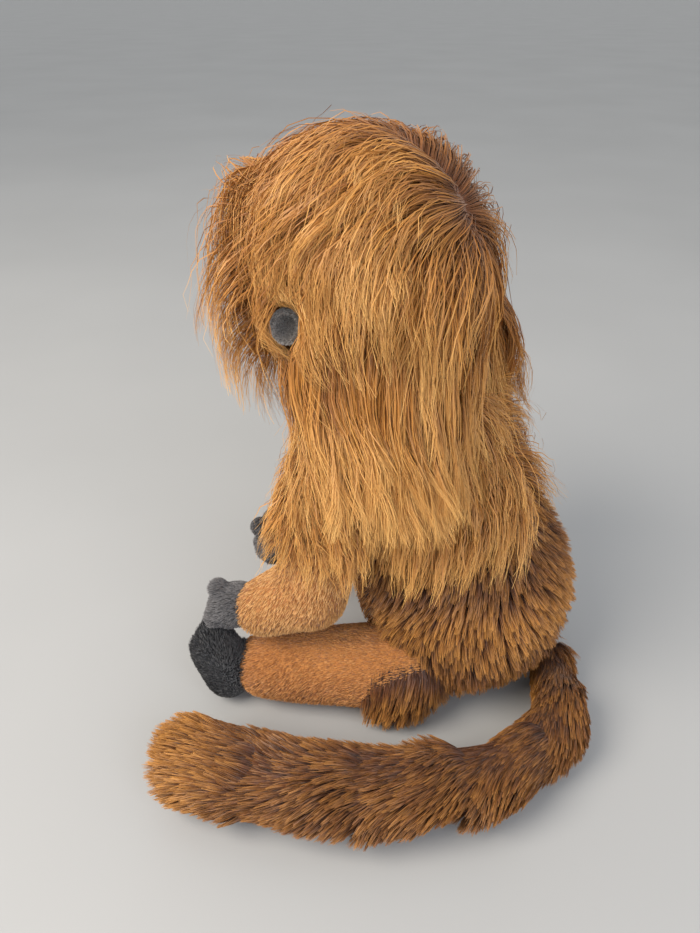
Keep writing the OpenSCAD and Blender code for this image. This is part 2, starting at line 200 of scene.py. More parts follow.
def capsule_into(bm, a, b, ra, rb):
    """A row of balls from a to b, close enough to close up into one skin when remeshed."""
    a, b = np.asarray(a, float), np.asarray(b, float)
    count = max(2, int(np.linalg.norm(b - a) / BALL_STEP))
    for k in range(count + 1):
        t = k / count
        p = (a + (b - a) * t) * MM
        r = (ra + (rb - ra) * t) * MM
        bmesh.ops.create_icosphere(bm, subdivisions=3, radius=r, matrix=Matrix.Translation(p))


def mesh_points(obj):
    co = np.empty(len(obj.data.vertices) * 3)
    obj.data.vertices.foreach_get("co", co)
    return co.reshape(-1, 3)


def set_points(obj, co):
    obj.data.vertices.foreach_set("co", co.ravel())
    obj.data.update()


def bake_down(obj):
    """Replaces obj's mesh with its evaluated form and drops its modifiers."""
    view = bpy.context.evaluated_depsgraph_get()
    made = bpy.data.meshes.new_from_object(obj.evaluated_get(view))
    obj.modifiers.clear()
    old = obj.data
    obj.data = made
    bpy.data.meshes.remove(old)


CLOTH_STEPS = 14
HELD_ENOUGH = 0.35
WEAVE_STIFFNESS = 12


def stuffed(name, capsules, mat, voxel=4.0, seam=None, furrow=1.2, most=2.5, press=4.0):
    """A sewn skin blown out by its filling: balls joined into one skin, then a short cloth
    simulation with pressure. Points on the seam are pulled in by furrow and held there."""
    bm = bmesh.new()
    for item in capsules:
        capsule_into(bm, *item)
    mesh = bpy.data.meshes.new(name)
    bm.to_mesh(mesh)
    bm.free()
    obj = bpy.data.objects.new(name, mesh)
    bpy.context.scene.collection.objects.link(obj)
    remesh = obj.modifiers.new("skin", "REMESH")
    remesh.mode = "VOXEL"
    remesh.voxel_size = voxel * MM
    soften = obj.modifiers.new("soften", "SMOOTH")
    soften.iterations = 4
    bake_down(obj)
    co = mesh_points(obj)
    held = np.zeros(len(co))
    if seam is not None:
        near = seam(co / MM)
        held = np.clip(1 - near / (0.7 * voxel), 0, 1)
        normals = np.array([v.normal for v in obj.data.vertices])
        co -= normals * (held * furrow * MM)[:, None]
        set_points(obj, co)
    group = obj.vertex_groups.new(name="held")
    for i in np.nonzero(held > HELD_ENOUGH)[0]:
        group.add([int(i)], 1.0, "REPLACE")
    cloth = obj.modifiers.new("filling", "CLOTH")
    cloth.settings.quality = 4
    cloth.settings.mass = 0.2
    cloth.settings.tension_stiffness = WEAVE_STIFFNESS
    cloth.settings.compression_stiffness = WEAVE_STIFFNESS
    cloth.settings.bending_stiffness = 0.4
    cloth.settings.use_pressure = True
    cloth.settings.uniform_pressure_force = press
    cloth.settings.effector_weights.gravity = 0
    cloth.collision_settings.use_collision = False
    if seam is not None:
        cloth.settings.vertex_group_mass = "held"
    for step in range(1, CLOTH_STEPS + 1):
        bpy.context.scene.frame_set(step)
    bake_down(obj)
    after = mesh_points(obj)
    move = after - co
    far = np.linalg.norm(move, axis=1, keepdims=True)
    drift = move.mean(0)
    move = (move - drift) * np.minimum(1, most * MM / np.maximum(far, 1e-9))
    set_points(obj, co + move)
    bpy.context.scene.frame_set(1)
    even = obj.modifiers.new("smooth", "SUBSURF")
    even.levels = 1
    even.render_levels = 1
    bake_down(obj)
    obj.data.materials.clear()
    obj.data.materials.append(mat)
    obj.data.polygons.foreach_set("use_smooth", np.ones(len(obj.data.polygons), bool))
    obj.data.update()
    return obj


# ---------------------------------------------------------------- the body as simple solids, for combing

NECK_R = 30
ARM_CONES = ((18, 17.6), (17, 15.5), (12, 8))
LEG_CONES = ((25, 20), (16, 12), (12, 11.4))


def cones():
    """The stuffed parts as (start, end, start radius, end radius) in mm."""
    rows = [(SEAT, CHEST, SEAT_R, CHEST_R),
            (CHEST, HEAD, NECK_R, NECK_R),
            (HEAD, HEAD + [0, 0, 1], SKULL_R, SKULL_R),
            (HEAD, MUZZLE, 20, 17)]
    limbs = ((ARM_LEFT, ARM_CONES), (ARM_RIGHT, ARM_CONES),
             (LEG_LEFT, LEG_CONES), (LEG_RIGHT, LEG_CONES))
    for points, radii in limbs:
        for k, (near, far) in enumerate(radii):
            rows.append((points[k], points[k + 1], near, far))
    return rows


BODY_CONES = cones()


def gap(points, rows=None):
    """Signed distance to the nearest stuffed part and the direction away from it."""
    best = np.full(len(points), 1e9)
    away = np.zeros_like(points)
    for a, b, ra, rb in (rows or BODY_CONES):
        line = b - a
        t = np.clip(((points - a) @ line) / (line @ line), 0, 1)
        off = points - (a + t[:, None] * line)
        far = np.linalg.norm(off, axis=1)
        d = far - (ra + (rb - ra) * t)
        take = d < best
        best[take] = d[take]
        away[take] = (off / np.maximum(far, 1e-9)[:, None])[take]
    return best, away


class Sway:
    """A smooth, seeded, random direction everywhere in space, for waves and cowlicks."""

    def __init__(self, seed, reach):
        rng = np.random.default_rng(seed)
        self.k = rng.normal(size=(6, 3)) / reach
        self.p = rng.uniform(0, 2 * math.pi, 6)
        self.v = rng.normal(size=(6, 3)) / 2.4

    def __call__(self, points):
        return np.sin(points @ self.k.T + self.p) @ self.v


def scatter(obj, count, rng, keep=None):
    """Random roots over a skin, even by area: points in mm and outward directions."""
    mesh = obj.data
    mesh.calc_loop_triangles()
    n = len(mesh.loop_triangles)
    tri = np.empty(n * 3, np.int32)
    mesh.loop_triangles.foreach_get("vertices", tri)
    tri = tri.reshape(-1, 3)
    co = mesh_points(obj) / MM
    normal = np.empty(len(mesh.vertices) * 3)
    mesh.vertices.foreach_get("normal", normal)
    normal = normal.reshape(-1, 3)
    a, b, c = co[tri[:, 0]], co[tri[:, 1]], co[tri[:, 2]]
    area = np.linalg.norm(np.cross(b - a, c - a), axis=1)
    pick = rng.choice(n, count, p=area / area.sum())
    u, v = rng.random((2, count))
    flip = u + v > 1
    u[flip], v[flip] = 1 - u[flip], 1 - v[flip]
    w = 1 - u - v
    t = tri[pick]
    p = co[t[:, 0]] * w[:, None] + co[t[:, 1]] * u[:, None] + co[t[:, 2]] * v[:, None]
    q = unit(normal[t[:, 0]] * w[:, None] + normal[t[:, 1]] * u[:, None] + normal[t[:, 2]] * v[:, None])
    if keep is not None:
        inside = keep(p, q) > rng.random(count)
        p, q = p[inside], q[inside]
    return p, q


def comb(roots, outward, length, steps, aim, lift, gravity=0.0, stand=0.6, follow=0.35,
         sway=None, sway_by=0.2, floor=0.6, solids=None):
    """Grows each strand from its root. aim(points, roots, t) is where the pile is brushed; lift is how
    far the strand rides above the stuffed body; stand is how upright it leaves the backing."""
    count = len(roots)
    path = np.empty((count, steps, 3))
    path[:, 0] = roots
    way = unit(outward * stand + aim(roots, roots, 0.0) * (1 - stand))
    place = roots.copy()
    for k in range(1, steps):
        t = k / (steps - 1)
        want = aim(place, roots, t) + np.array([0, 0, -gravity * t])
        if sway is not None:
            want = want + sway(place) * sway_by
        way = unit(way * (1 - follow) + unit(want) * follow)
        place = place + way * (length / (steps - 1))[:, None]
        far, off = gap(place, solids)
        need = lift * min(1.0, 2.2 * t)
        short = np.clip(need - far, 0, 3.5)
        place = place + off * short[:, None]
        place[:, 2] = np.maximum(place[:, 2], floor)
        path[:, k] = place
    return path


def clump(path, spacing, pull, rng, curve=1.5):
    """Draws strands together towards their tips, into locks about spacing apart."""
    roots = path[:, 0]
    count = len(roots)
    order = rng.permutation(count)
    tree_size = max(8, int(count / max(1.0, spacing)))
    heads = order[:tree_size]
    tree = kdtree.KDTree(tree_size)
    for i, h in enumerate(heads):
        tree.insert(path[h, path.shape[1] // 3], i)
    tree.balance()
    mine = np.array([tree.find(p)[1] for p in path[:, path.shape[1] // 3]])
    lead = path[heads[mine]]
    t = np.linspace(0, 1, path.shape[1])[None, :, None]
    w = np.clip(pull, 0, 1)[:, None, None] * t ** curve
    return path * (1 - w) + lead * w, mine


def ribbons(name, path, outward, width, tone, mat, twist=0.6, seed=1, taper=0.25, frizz=0.0):
    """Flat tapered ribbons along the strands, their faces turned outward give or take twist."""
    rng = np.random.default_rng(seed)
    count, steps = path.shape[:2]
    if frizz:
        kink = rng.normal(0, frizz, (count, steps, 3)) * np.linspace(0, 1, steps)[None, :, None]
        path = path + kink
        path[:, :, 2] = np.maximum(path[:, :, 2], 0.5)
    along = unit(np.gradient(path, axis=1))
    side = unit(np.cross(along, outward))
    up = np.cross(side, along)
    angle = rng.normal(0, twist, count)[:, None, None]
    side = side * np.cos(angle) + up * np.sin(angle)
    t = np.linspace(0, 1, steps)
    shape = np.minimum(1.0, 0.75 + 1.2 * t) * (1 - (1 - taper) * smooth(0.45, 1.0, t))
    half = side * (np.asarray(width)[:, None] * shape[None, :] / 2)[:, :, None]
    verts = np.stack([path - half, path + half], axis=2).reshape(-1, 3) * MM
    base = (np.arange(count) * steps * 2)[:, None] + np.arange(steps - 1)[None, :] * 2
    quad = np.stack([base, base + 1, base + 3, base + 2], axis=-1).reshape(-1)
    v_row = np.stack([t[:-1], t[:-1], t[1:], t[1:]], axis=-1)
    v_all = np.broadcast_to(v_row[None], (count, steps - 1, 4)).reshape(-1)
    u_all = np.repeat(np.clip(tone, 0.01, 0.99), (steps - 1) * 4)
    mesh = bpy.data.meshes.new(name)
    faces = count * (steps - 1)
    mesh.vertices.add(len(verts))
    mesh.vertices.foreach_set("co", verts.ravel())
    mesh.loops.add(faces * 4)
    mesh.loops.foreach_set("vertex_index", quad.astype(np.int32))
    mesh.polygons.add(faces)
    mesh.polygons.foreach_set("loop_start", np.arange(0, faces * 4, 4, dtype=np.int32))
    mesh.update(calc_edges=True)
    mesh.polygons.foreach_set("use_smooth", np.ones(faces, bool))
    layer = mesh.uv_layers.new(name="OFBake")
    layer.data.foreach_set("uv", np.stack([u_all, v_all], axis=-1).ravel())
    mesh.materials.append(mat)
    obj = bpy.data.objects.new(name, mesh)
    bpy.context.scene.collection.objects.link(obj)
    return obj


def outward_of(path, outward, solids=None):
    """For each point on each strand, the way out from the body, which the ribbons face."""
    count, steps = path.shape[:2]
    _, off = gap(path.reshape(-1, 3), solids)
    mixed = off.reshape(count, steps, 3) + 0.35 * outward[:, None, :]
    return unit(mixed)

# ---------------------------------------------------------------- what each part is made of

# Long luxury-shag acrylic, dyed ginger: the dark roots give depth between the locks, the golden
# lengths give the mane its colour, and the pale tips catch the light along every edge.
mane_fibre = fibre_material("mane fur", "#6e3a10", "#c88838", "#ecba6c", "#8f551a", 0.5, 0.12)
# Frosted plush, chocolate with bleached ends: the eye sees dark hollows under caramel spikes.
frost_fibre = fibre_material("frosted plush", "#260e04", "#7a4418", "#cf9143", "#44200a", 0.5, 0.15)
# Short boa plush in tan: a soft, even nap that only shades a little where it is stroked.
arm_fibre = fibre_material("tan plush for the arms", "#b07838", "#c99250", "#dfb076", "#bd8444", 0.6, 0.3)
tan_fibre = fibre_material("tan plush for the legs and belly", "#a4662a", "#c08040", "#d89c58", "#b07034",
                           0.6, 0.3)
# Clipped velboa: matt with a faint bloom at the edges, near black on the feet, grey on the hands,
# paler on the face and palest on the ears.
hand_fibre = fibre_material("grey velboa", "#2e2c2d", "#5c595a", "#7d7a7a", "#454344", 0.7, 0.4)
foot_fibre = fibre_material("charcoal velboa", "#1b1a1b", "#383638", "#5a5858", "#282728", 0.7, 0.4)
face_fibre = fibre_material("stone velboa", "#6b645c", "#9a938a", "#bdb7ae", "#857e75", 0.7, 0.4)
ear_fibre = fibre_material("pale velboa", "#8f8a84", "#bcb7b1", "#dad6d1", "#a6a19b", 0.7, 0.4)

# Knitted backings, each a shade darker than its pile, so that thin places read as shadow.
mane_backing = backing_material("mane backing", "#6a3c16", "#8a5320", 60.0)
frost_backing = backing_material("plush backing", "#1e0c04", "#3a1c0a", 60.0)
tan_backing = backing_material("tan backing", "#aa6a30", "#bd7f42", 60.0)
hand_backing = backing_material("grey backing", "#353334", "#4c4a4b", 60.0)
foot_backing = backing_material("charcoal backing", "#1d1c1d", "#2c2b2c", 60.0)
face_backing = backing_material("stone backing", "#756e66", "#918a81", 60.0)
ear_backing = backing_material("pale backing", "#96918b", "#aea9a3", 60.0)
neck_backing = backing_material("neck backing", "#4a2a14", "#6a4020", 60.0)

# Moulded parts: the eyes are polished almost to glass, the nose is satin, the washers are raw.
eye_plastic = plastic_material("eye plastic", "#120a05", "#2c1a0e", 0.06, 0.9)
nose_plastic = plastic_material("nose plastic", "#0d0c0b", "#1d1a18", 0.28, 0.2)
washer_plastic = plastic_material("washer plastic", "#d8d8d4", "#f0f0ec", 0.4, 0.0)
thread = backing_material("sewing thread", "#5a3518", "#7d4f29", 400.0)
seat_felt = backing_material("seat felt", "#3a2414", "#54351f", 90.0)


def dress(node, mat):
    """Gives a carried-over CAD part its material."""
    part = bpy.data.objects.get(node)
    if not part.material_slots:
        part.data.materials.append(mat)
    for slot in part.material_slots:
        slot.material = mat


for node, mat in (("eye_left", eye_plastic), ("eye_right", eye_plastic), ("nose", nose_plastic),
                  ("safety_washers", washer_plastic), ("neck_thread", thread), ("seat_panel", seat_felt)):
    dress(node, mat)

# ---------------------------------------------------------------- skins

torso_skin = stuffed("torso_skin", [(SEAT, CHEST, SEAT_R - 1, CHEST_R - 1)], frost_backing, voxel=6.0,
                     seam=lambda p: np.abs(p[:, 0]) + 99 * (p[:, 1] < 0), furrow=1.5)
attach(torso_skin, "torso")
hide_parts("back_panel_left", "back_panel_right", "belly_panel", "torso_stuffing",
            "pellet_bag", "pellets")

neck_skin = stuffed("neck_skin", [(NECK - [0, 0, 3], NECK + [0, 0, 3], 25, 25)], neck_backing, voxel=5.0)
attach(neck_skin, "neck")
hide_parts("neck_stuffing")

head_skin = stuffed("head_skin", [(HEAD, HEAD + [0, 0, 1], SKULL_R - 1.5, SKULL_R - 1.5),
                                  (HEAD + 34 * MUZZLE_DIR, MUZZLE, 19, 16.2)],
                    mane_backing, voxel=4.0, furrow=1.0,
                    seam=lambda p: np.abs(p[:, 0]) + 99 * (p[:, 1] < -50))
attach(head_skin, "head")
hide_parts("mane_panel_left", "mane_panel_right", "face_panel", "muzzle_panel",
            "muzzle_stuffing", "head_stuffing")
head_skin.data.materials.append(face_backing)
FACE_PATCH = 44
for polygon in head_skin.data.polygons:
    middle = unit(np.array(polygon.center) / MM - HEAD)
    polygon.material_index = int(middle @ FACE > math.cos(math.radians(FACE_PATCH)))


def seam_across(point, normal):
    normal = unit(normal)
    return lambda p: np.abs((p - point) @ normal)


arm_skins = {}
for side, arm in (("left", ARM_LEFT), ("right", ARM_RIGHT)):
    bend = np.cross(arm[2] - arm[1], arm[1] - arm[0])
    elbow = arm[1] + [0, 5, 0]
    skin = stuffed("arm_%s_skin" % side,
                   [(arm[0], elbow, 16.8, 20.0), (elbow, arm[2] + [0, 2, 0], 19.0, 15.0)],
                   tan_backing, voxel=3.2, seam=seam_across(arm[1], bend), furrow=1.3, most=1.8)
    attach(skin, "arm_" + side)
    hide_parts(*["arm_%s_%s" % (side, part) for part in ("outer", "inner", "stuffing")])
    arm_skins[side] = skin

hand_skins = {}
for side, arm, sign in (("left", ARM_LEFT, 1), ("right", ARM_RIGHT, -1)):
    reach = unit(arm[3] - arm[2])
    across = unit(np.cross([0, 0, sign], reach))
    up = np.cross(reach, across) * sign
    root = towards(arm[2], arm[3], 11)
    palm = towards(root, arm[3], 7) + [0, 1, -2]
    tips = arm[3] + [0, 5, -3]
    parts = [(root, root + reach, 11, 11), (root, palm, 10.4, 10.8)]
    for k in (-1, 0, 1):
        parts.append((palm + 4.8 * k * across, tips + 7 * k * across - 1.5 * abs(k) * reach, 5.2, 5.0))
    parts.append((palm + 5 * up, palm + 12 * up + 3 * reach, 5.4, 5.0))
    skin = stuffed("hand_%s_skin" % side, parts, hand_backing, voxel=1.7, most=0.8, press=2.0,
                   seam=seam_across(arm[3], up), furrow=0.5)
    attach(skin, "hand_" + side)
    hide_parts(*["hand_%s_%s" % (side, part) for part in ("back", "palm", "stuffing")])
    hand_skins[side] = skin

leg_skins = {}
foot_skins = {}
for side, leg, sign in (("left", LEG_LEFT, 1), ("right", LEG_RIGHT, -1)):
    across = np.cross([0, 0, 1.0], leg[0] - leg[1])
    skin = stuffed("leg_%s_skin" % side, [(leg[0], leg[1], 23.2, 18.2)], tan_backing, voxel=4.0,
                   seam=seam_across(leg[0], across), furrow=1.6, most=2.0)
    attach(skin, "leg_" + side)
    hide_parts(*["leg_%s_%s" % (side, part) for part in ("outer", "inner", "stuffing")])
    leg_skins[side] = skin
    level = np.array([leg[2][0], leg[2][1], leg[1][2]])
    root = towards(leg[1], level, 14)
    heel = leg[2] + [0, 9, 1]
    ball = leg[3] + [0, 8, 1]
    parts = [(root, root + [0, -1, 0], 11, 11),
             (root, (heel + ball) / 2, 10.4, 10),
             (heel, ball, 12.4, 12.6)]
    for k in (-1, 0, 1):
        toe = ball + [7.5 * k * sign, -3.4, 10.5 - k]
        parts.append((ball + [5 * k * sign, -1.5, 2], toe, 6.4, 6.2 - 0.4 * k))
    skin = stuffed("foot_%s_skin" % side, parts, foot_backing, voxel=2.0, most=0.9, press=2.0)
    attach(skin, "foot_" + side)
    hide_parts(*["foot_%s_%s" % (side, part) for part in ("upper", "sole", "stuffing")])
    foot_skins[side] = skin


def tail_piece_body(obj, i):
    """Piece 5 rides the last length of the tail; pieces 0 to 4 only get their placement baked into their
    meshes.
    """
    if i == 5:
        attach(obj, "tail_5")
        return
    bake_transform(obj)


PILE_DEPTH = 8.5
OVERLAP = 10.0
tail_skins = []
for i in range(6):
    before = TAIL[i] if i == 0 else (TAIL[i - 1] + TAIL[i]) / 2
    after = (TAIL[i] + TAIL[i + 1]) / 2 if i < 5 else TAIL[5]
    radii = [TAIL_R[i] + step - PILE_DEPTH for step in (-0.95, 0, 0.95)]
    if i == 0:
        parts = [(before, towards(after, before, -OVERLAP), radii[1], radii[2])]
    elif i == 5:
        parts = [(towards(before, TAIL[5], -OVERLAP), TAIL[5], radii[0], radii[1])]
    else:
        parts = [(towards(before, TAIL[i], -OVERLAP), TAIL[i], radii[0], radii[1]),
                 (TAIL[i], towards(after, TAIL[i], -OVERLAP), radii[1], radii[2])]
    skin = stuffed("tail_cover_%d" % i, parts, frost_backing, voxel=3.6, most=1.5)
    tail_piece_body(skin, i)
    tail_skins.append(skin)
    if i > 0:
        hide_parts("tail_skin_%d" % i, "tail_stuffing_%d" % i)

# ---------------------------------------------------------------- pile

rng = np.random.default_rng(17)


def spread(low, high, count):
    return rng.uniform(low, high, count)


def face_angle(points):
    return np.degrees(np.arccos(np.clip(unit(points - HEAD) @ FACE, -1, 1)))


def column(x):
    return np.asarray(x)[:, None]


def parting(points):
    """Negative where the pile is brushed forward: in front of the line from the whorl down to the
    ear, and above the line from the whorl round to the back of the head."""
    ahead = points[:, 1] - (-38 + 0.757 * (points[:, 2] - 254))
    above = (257 - 0.2 * (points[:, 1] + 38)) - points[:, 2]
    return np.minimum(ahead, above)


def mane_aim(place, roots, t):
    """Brushed forward in front of the parting and backward behind it, always close to the head, and
    hanging towards the tips; the front curls back under the cheek."""
    side = np.sign(roots[:, 0])
    one = np.ones(len(roots))
    out = unit(place - HEAD)
    w = smooth(0.35, 1.0, t)
    front = np.stack([0.25 * side, -1.0 * one, -0.35 * one], axis=1)
    over = np.stack([1.0 * side, -0.35 * one, 0.15 * one], axis=1)
    nape = column(smooth(-8, 34, (roots - HEAD)[:, 1]) * smooth(0.8, 0.3, t))
    front = unit(front * (1 - nape) + over * nape)
    back = np.stack([0.1 * side, 0.55 * one, -0.8 * one], axis=1)
    mix = column(smooth(-12, 12, parting(roots)))
    brushed = front * (1 - mix) + back * mix
    brushed = unit(brushed - dot(brushed, out) * out)
    curl = np.stack([-0.15 * side, 0.55 * one, -0.9 * one], axis=1)
    hang = np.stack([0 * one, 0.05 * one, -1.0 * one], axis=1)
    end = curl * (1 - mix) + hang * mix
    return unit(brushed * (1 - w) + unit(end) * w)


def ruff_aim(place, roots, t):
    w = smooth(0.15, 1.0, t)
    radial = unit((roots - HEAD) - dot(roots - HEAD, FACE) * FACE)
    top = np.clip(radial[:, 2:], 0, 1)
    start = radial * (0.55 - 0.3 * top) + FACE * (0.7 + 0.2 * top)
    end = radial * 0.15 - FACE * 0.25 + np.array([0, 0, -0.9])
    return unit(start * (1 - w) + end * w)


def cape_aim(place, roots, t):
    side = np.sign(roots[:, 0])
    w = smooth(0, 1, t)
    one = np.ones(len(roots))
    start = np.stack([0.5 * side, 0.5 * one, -0.5 * one], axis=1)
    end = np.stack([0.1 * side, 0.1 * one, -1.0 * one], axis=1)
    return unit(start * (1 - w) + end * w)


RIPPLE = 3.4
STRAY_SHARE = 0.06
EAR_CLEAR = 9.5
EAR_OUT = 57.0
EAR_BASE = -4
EAR_REACH = 60
EAR_FACING = unit([0.82, 0.33, 0.47])
FACE_CLEAR = 34.0


def clear_ears(path):
    """Parts the locks round each ear, so that the ear shows."""
    for sign in (1, -1):
        out = EAR_FACING * [sign, 1, 1]
        off = path - (HEAD + EAR_DIR * [sign, 1, 1] * EAR_OUT)
        depth = off @ out
        flat = off - depth[:, :, None] * out
        near = np.linalg.norm(flat, axis=2)
        edge = column(EAR_CLEAR + spread(-1.5, 3, len(path)))
        push = np.clip(edge - near, 0, None) * (depth > EAR_BASE) * (depth < EAR_REACH)
        path = path + unit(flat + [0, 0.01, 0]) * push[:, :, None]
    return path


def over_ears(path):
    """True for the locks that still cross an ear between two of their points."""
    middle = (path[:, 1:] + path[:, :-1]) / 2
    crosses = np.zeros(len(path), bool)
    for sign in (1, -1):
        off = middle - (HEAD + EAR_DIR * [sign, 1, 1] * EAR_OUT)
        depth = off @ (EAR_FACING * [sign, 1, 1])
        flat = off - depth[:, :, None] * (EAR_FACING * [sign, 1, 1])
        close = np.linalg.norm(flat, axis=2) < 0.7 * EAR_CLEAR
        crosses |= np.any(close * (depth > EAR_BASE) * (depth < EAR_REACH), axis=1)
    return crosses


def clear_face(path):
    """Keeps the locks out of the face, so that they frame it with an uneven edge."""
    off = path - HEAD
    depth = off @ FACE
    flat = off - depth[:, :, None] * FACE
    edge = column(FACE_CLEAR + spread(-4, 8, len(path))) + 0.2 * np.clip(depth - 40, 0, 40)
    push = np.clip(edge - np.linalg.norm(flat, axis=2), 0, None) * smooth(5, 30, depth)
    return path + unit(flat + [0, 0, 0.01]) * push[:, :, None]


def long_locks(name, skin, count, keep, aim, length, lift, steps, seed, gravity=0.5, stand=0.45,
               per_lock=30, width=(0.25, 0.55), frizz=0.7, pull=(0.15, 0.8)):
    """Mane: count strands, of which keep(points, normals) says where they grow, drawn into locks,
    rippled, and parted round the face and the ears."""
    roots, out = scatter(skin, count, rng, keep)
    n = len(roots)
    low = 0.45 + 0.55 * smooth(284, 240, roots[:, 2])
    stray = rng.random(n) < STRAY_SHARE
    low = low * np.where(stray, 1.9, 1.0)
    out = unit(out + rng.normal(0, 0.25, out.shape))
    path = comb(roots, out, spread(*length, n), steps, aim, spread(*lift, n) * low, gravity=gravity,
                stand=stand, follow=0.45, sway=Sway(seed, 22.0), sway_by=0.5)
    path, lock = clump(path, per_lock, spread(*pull, n), rng, 1.4)
    ripple = Sway(seed + 1, 11.0)
    t = np.linspace(0, 1, steps)
    lock_phase = rng.uniform(0, 60, (lock.max() + 1, 3))
    for k in range(steps):
        path[:, k] += ripple(path[:, k] + lock_phase[lock]) * (RIPPLE * t[k])
    path = clear_ears(clear_face(path))
    clear = ~over_ears(path)
    path, out, lock = path[clear], out[clear], lock[clear]
    n = len(path)
    path[:, :, 2] = np.maximum(path[:, :, 2], 0.6)
    lock_tone = rng.random(lock.max() + 1)
    tone = np.clip(0.5 * lock_tone[lock] + spread(0.1, 0.6, n), 0, 1)
    return ribbons(name, path, outward_of(path, out), spread(*width, n), tone, mane_fibre, 0.6, seed,
                   frizz=frizz)


def short_pile(name, skin, count, keep, aim, length, mat, seed, stand=0.75, steps=3,
               width=(0.5, 0.9), per_tuft=0, pull=(0.3, 0.9), gravity=0.0, solids=None, bands=None,
               frizz=0.0):
    """Plush: short strands, tufted where per_tuft says how far apart the tufts are."""
    roots, out = scatter(skin, count, rng, keep)
    n = len(roots)
    patch = Sway(seed, 12.0)
    path = comb(roots, out, spread(*length, n), steps, aim, np.zeros(n), gravity=gravity, stand=stand,
                follow=0.35, sway=patch, sway_by=0.45, solids=solids)
    tone = spread(0.1, 0.9, n)
    if per_tuft:
        path, tuft = clump(path, per_tuft, spread(*pull, n), rng, 1.2)
        tuft_tone = rng.random(tuft.max() + 1)
        tone = np.clip(0.75 * tuft_tone[tuft] + 0.3 * tone, 0, 1)
    else:
        shade = Sway(seed + 5, 7.0)(roots)[:, 0]
        tone = np.clip(tone + 0.25 * shade, 0, 1)
    if bands is not None:
        tone = np.clip(0.6 * tone + bands(roots), 0, 1)
    path[:, :, 2] = np.maximum(path[:, :, 2], 0.5)
    facing = np.broadcast_to(rng.normal(size=(n, 1, 3)) + 0.6 * out[:, None, :], path.shape)
    return ribbons(name, path, unit(facing), spread(*width, n), tone, mat, 0.5, seed, frizz=frizz)


def follow_head(obj):
    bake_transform(obj)


def off_neck(points):
    return (points[:, 2] > 188).astype(float)


mane_front = long_locks("mane_front", head_skin, 34000,
                        lambda p, n: off_neck(p) * (face_angle(p) > 46) * (parting(p) < 0),
                        mane_aim, (46, 82), (2, 17), 9, 31, gravity=0.3, stand=0.3)
follow_head(mane_front)
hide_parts("face_ruff")
mane_back = long_locks("mane_back", head_skin, 31000,
                       lambda p, n: off_neck(p) * (face_angle(p) > 46) * (parting(p) >= 0),
                       mane_aim, (52, 96), (4, 22), 9, 37, gravity=0.5, stand=0.4)
follow_head(mane_back)
mane_ruff = long_locks("mane_ruff", head_skin, 22000,
                       lambda p, n: off_neck(p) * (face_angle(p) > 36) * (face_angle(p) < 54),
                       ruff_aim, (36, 56), (3, 15), 9, 41, gravity=0.4, stand=0.45)
follow_head(mane_ruff)
for side, sign in (("left", 1), ("right", -1)):
    curtain = long_locks("mane_curtain_" + side, head_skin, 42000,
                         lambda p, n: off_neck(p) * (p[:, 2] < 226)
                         * (p[:, 0] * sign > np.where(p[:, 1] > -40, 0, 20))
                         * (face_angle(p) > 48),
                         cape_aim, (62, 98), (4, 14), 10, 45, gravity=1.2, stand=0.2)
    follow_head(curtain)


def torso_axis(points):
    line = CHEST - SEAT
    return (points - SEAT) @ line / (line @ line)


def behind(points):
    """Positive behind the torso's own leaning middle plane."""
    line = unit(CHEST - SEAT)
    back = unit(np.array([0, 1.0, 0]) - line[1] * line)
    return (points - SEAT) @ back


cape = long_locks("mane_cape", torso_skin, 40000,
                  lambda p, n: (p[:, 2] > 122) * (behind(p) > -24),
                  cape_aim, (26, 48), (6, 15), 8, 43, gravity=0.9, stand=0.35, per_lock=24)
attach(cape, "torso")
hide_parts("shoulder_mane")
for side, sign in (("left", 1), ("right", -1)):
    sleeve = long_locks("mane_sleeve_" + side, arm_skins[side], 16000,
                        lambda p, n: smooth(116, 128, p[:, 2]) * ((n[:, 0] * sign) > -0.6),
                        cape_aim, (16, 36), (3, 8), 8, 47, gravity=0.9, stand=0.2, per_lock=24)
    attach(sleeve, "arm_" + side)


def body_aim(place, roots, t):
    drop = np.array([0, 0.25, -0.9])
    return unit(unit(place - (SEAT + [0, 0, 20])) * 0.55 + drop)


TORSO_ONLY = [(SEAT, CHEST, SEAT_R, CHEST_R)]
TIER = 50.0


def painted_shade_rows(points):
    """Painted shade in rows about every 50 mm of height: the strands get a darker tone where the pale tips of
    one row hang over the dark roots below.
    """
    wander = Sway(99, 30.0)(points)[:, 0] * 9
    return 0.36 + 0.36 * np.cos(2 * math.pi * (points[:, 2] - 18 + wander) / TIER)


# The body pile's bands of tone are painted shade in rows.
for side, sign in (("left", 1), ("right", -1)):
    fur = short_pile("body_fur_" + side, torso_skin, 96000,
                     lambda p, n: (p[:, 0] * sign > 0) * (behind(p) > -18) * (p[:, 2] < 136) * (p[:, 2] > 2),
                     body_aim, (12, 18), frost_fibre, 51 + sign, stand=0.55, steps=4, per_tuft=22,
                     width=(0.3, 0.6), gravity=0.35, solids=TORSO_ONLY, bands=painted_shade_rows, frizz=0.2)
    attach(fur, "torso")

belly = short_pile("belly_pile", torso_skin, 20000,
                   lambda p, n: (behind(p) <= -18) * (p[:, 2] > 2),
                   body_aim, (3.5, 5.5), tan_fibre, 57, stand=0.6, solids=TORSO_ONLY)
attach(belly, "torso")


def along_aim(a, b):
    way = unit(np.asarray(b) - np.asarray(a)) + np.array([0, 0, -0.3])
    return lambda place, roots, t: np.broadcast_to(unit(way), place.shape)


